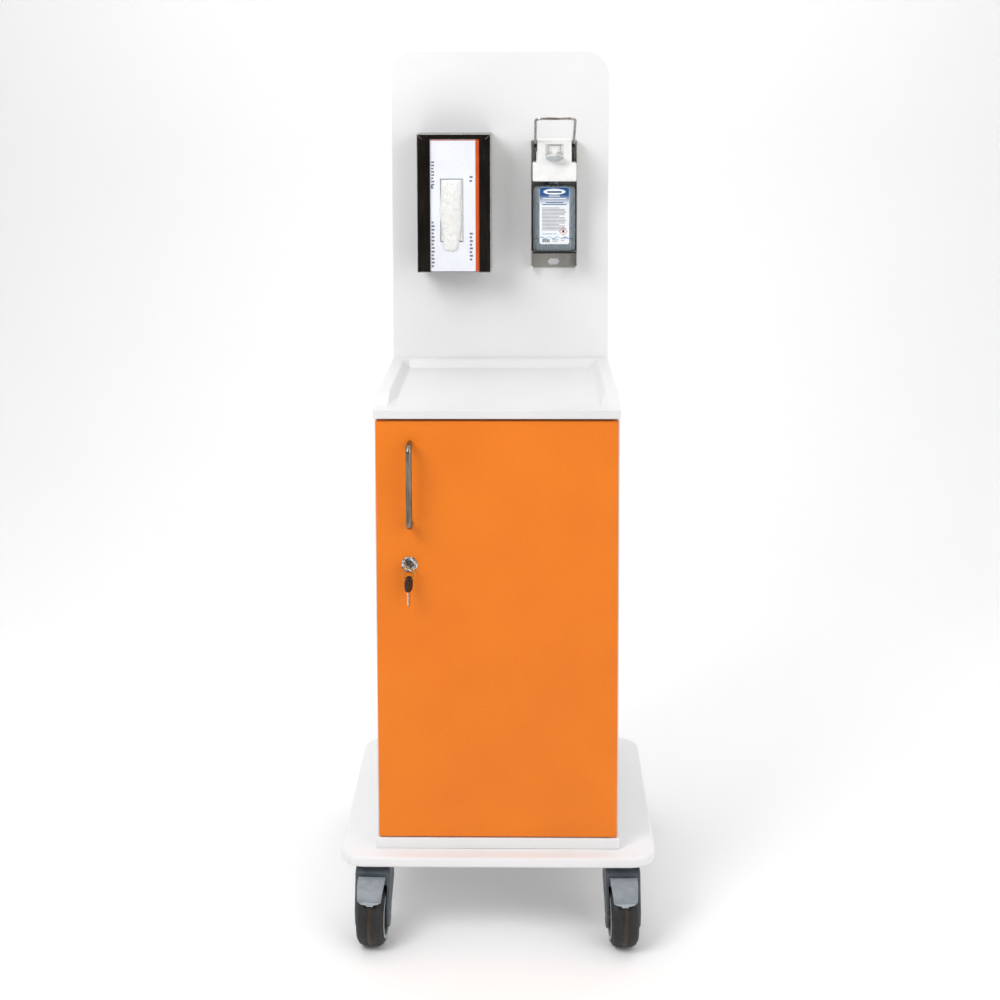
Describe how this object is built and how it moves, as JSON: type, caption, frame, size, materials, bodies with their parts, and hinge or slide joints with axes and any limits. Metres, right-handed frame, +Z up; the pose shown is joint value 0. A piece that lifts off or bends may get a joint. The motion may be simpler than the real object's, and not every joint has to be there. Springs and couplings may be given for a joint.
{
  "type": "bedside cabinet",
  "caption": "Narrow lockable bedside cabinet on castors, with a moulded tray top and a tall back panel carrying a glove-carton holder and an elbow-lever soap dispenser.",
  "frame": {"origin": "on the floor, under the middle of the base board", "axes": "+Z up, -Y towards a person facing the door, +X to that person's right"},
  "size_m": [0.522, 0.5785, 1.474],
  "materials": {
    "white_laminate": "satin white melamine laminate",
    "moulded_tray": "satin moulded plastic",
    "orange_laminate": "fine-grained orange laminate",
    "zinc": "zinc plated",
    "satin_nickel": "satin nickel",
    "lock_chrome": "bright chrome",
    "key_steel": "nickel plated",
    "ring_brass": "worn brass wire",
    "black_plastic": "black moulded plastic",
    "dark_sheet": "dark semi-gloss coating",
    "carton_board": "printed carton",
    "vinyl": "thin vinyl",
    "stainless": "brushed stainless",
    "white_plastic": "satin white ABS",
    "grey_plastic": "grey ABS",
    "bottle_plastic": "grey translucent polythene",
    "caster_plastic": "blue-grey moulded nylon",
    "pedal_plastic": "light blue-grey moulded nylon",
    "caster_tread": "grey-black thermoplastic rubber"
  },
  "bodies": {
    "cabinet": {"base_board": "white_laminate", "cabinet_floor": "white_laminate", "side_panel_left": "white_laminate", "side_panel_right": "white_laminate", "cabinet_roof": "white_laminate", "shelf": "white_laminate", "shelf_pin_front_left": "zinc", "shelf_pin_front_right": "zinc", "shelf_pin_rear_left": "zinc", "shelf_pin_rear_right": "zinc", "tray_top": "moulded_tray", "back_panel": "white_laminate", "lock_strike": "zinc", "hinge_arm_lower": "satin_nickel", "hinge_arm_upper": "satin_nickel", "glove_holder": "dark_sheet", "glove_carton": "carton_board", "glove": "vinyl", "dispenser_bracket": "stainless", "pump_housing": "white_plastic", "spout_shield": "grey_plastic", "nozzle": "white_plastic", "bottle": "bottle_plastic", "dip_tube": "bottle_plastic", "caster_front_left_plate": "zinc", "caster_front_right_plate": "zinc", "caster_rear_left_plate": "zinc", "caster_rear_right_plate": "zinc"},
    "door": {"door": "orange_laminate", "bow_handle": "satin_nickel", "handle_screw_lower": "zinc", "handle_screw_upper": "zinc", "lock_body": "lock_chrome", "lock_nut": "lock_chrome", "hinge_cup_lower": "satin_nickel", "hinge_cup_upper": "satin_nickel"},
    "lock_plug": {"lock_plug": "lock_chrome", "lock_cam": "zinc", "key_in_lock": "key_steel"},
    "key_ring": {"key_ring": "ring_brass"},
    "spare_key": {"spare_key_head": "black_plastic", "spare_key_blade": "key_steel"},
    "elbow_lever": {"lever_loop": "stainless", "lever_hub_left": "black_plastic", "lever_hub_right": "black_plastic"},
    "pump_plunger": {"pump_plunger": "white_plastic"},
    "caster_front_left_fork": {"caster_front_left_fork": "caster_plastic", "caster_front_left_axle": "zinc"},
    "caster_front_left_wheel": {"caster_front_left_wheel": "caster_tread"},
    "caster_front_left_pedal": {"caster_front_left_brake_pedal": "pedal_plastic"},
    "caster_front_right_fork": {"caster_front_right_fork": "caster_plastic", "caster_front_right_axle": "zinc"},
    "caster_front_right_wheel": {"caster_front_right_wheel": "caster_tread"},
    "caster_front_right_pedal": {"caster_front_right_brake_pedal": "pedal_plastic"},
    "caster_rear_left_fork": {"caster_rear_left_fork": "caster_plastic", "caster_rear_left_axle": "zinc"},
    "caster_rear_left_wheel": {"caster_rear_left_wheel": "caster_tread"},
    "caster_rear_right_fork": {"caster_rear_right_fork": "caster_plastic", "caster_rear_right_axle": "zinc"},
    "caster_rear_right_wheel": {"caster_rear_right_wheel": "caster_tread"}
  },
  "joints": [
    {"name": "door_hinge", "type": "hinge", "parent": "cabinet", "child": "door", "pos_m": [0.1985, -0.199, 0.1723], "axis": [0, 0, 1], "range_deg": [0, 105]},
    {"name": "lock_turn", "type": "hinge", "parent": "door", "child": "lock_plug", "pos_m": [-0.1432, -0.218, 0.6348], "axis": [0, 1, 0], "range_deg": [-40, 50]},
    {"name": "ring_swing", "type": "hinge", "parent": "lock_plug", "child": "key_ring", "pos_m": [-0.1432, -0.2381, 0.6348], "axis": [1, 0, 0], "range_deg": [-25, 3]},
    {"name": "spare_key_swing", "type": "hinge", "parent": "key_ring", "child": "spare_key", "pos_m": [-0.1432, -0.2381, 0.6158], "axis": [-0.9135, 0.4067, 0], "range_deg": [-8, 25]},
    {"name": "lever_press", "type": "hinge", "parent": "cabinet", "child": "elbow_lever", "pos_m": [0.0993, 0.157, 1.2975], "axis": [1, 0, 0], "range_deg": [0, 20], "stiffness_Nm_per_rad": 0.8, "springref_deg": -17.19},
    {"name": "plunger_slide", "type": "slide", "parent": "cabinet", "child": "pump_plunger", "axis": [0, 0, -1], "range_m": [0, 0.006]},
    {"name": "caster_front_left_swivel", "type": "hinge", "parent": "cabinet", "child": "caster_front_left_fork", "pos_m": [-0.2045, -0.205, 0.134], "axis": [0, 0, 1], "continuous": true},
    {"name": "caster_front_left_spin", "type": "hinge", "parent": "caster_front_left_fork", "child": "caster_front_left_wheel", "pos_m": [-0.20628, -0.23895, 0.05], "axis": [0.9986, -0.0523, 0], "continuous": true},
    {"name": "caster_front_left_brake", "type": "hinge", "parent": "caster_front_left_fork", "child": "caster_front_left_pedal", "pos_m": [-0.20681, -0.24914, 0.1154], "axis": [0.9986, -0.0523, 0], "range_deg": [0, 8]},
    {"name": "caster_front_right_swivel", "type": "hinge", "parent": "cabinet", "child": "caster_front_right_fork", "pos_m": [0.2045, -0.205, 0.134], "axis": [0, 0, 1], "continuous": true},
    {"name": "caster_front_right_spin", "type": "hinge", "parent": "caster_front_right_fork", "child": "caster_front_right_wheel", "pos_m": [0.20628, -0.23895, 0.05], "axis": [0.9986, 0.0523, 0], "continuous": true},
    {"name": "caster_front_right_brake", "type": "hinge", "parent": "caster_front_right_fork", "child": "caster_front_right_pedal", "pos_m": [0.20681, -0.24914, 0.1154], "axis": [0.9986, 0.0523, 0], "range_deg": [0, 8]},
    {"name": "caster_rear_left_swivel", "type": "hinge", "parent": "cabinet", "child": "caster_rear_left_fork", "pos_m": [-0.2045, 0.205, 0.134], "axis": [0, 0, 1], "continuous": true},
    {"name": "caster_rear_left_spin", "type": "hinge", "parent": "caster_rear_left_fork", "child": "caster_rear_left_wheel", "pos_m": [-0.2045, 0.239, 0.05], "axis": [-1, 0, 0], "continuous": true},
    {"name": "caster_rear_right_swivel", "type": "hinge", "parent": "cabinet", "child": "caster_rear_right_fork", "pos_m": [0.2045, 0.205, 0.134], "axis": [0, 0, 1], "continuous": true},
    {"name": "caster_rear_right_spin", "type": "hinge", "parent": "caster_rear_right_fork", "child": "caster_rear_right_wheel", "pos_m": [0.2045, 0.239, 0.05], "axis": [-1, 0, 0], "continuous": true}
  ],
  "couplings": [
    {"joint": "plunger_slide", "follows": "lever_press", "m_per_rad": 0.0171}
  ]
}
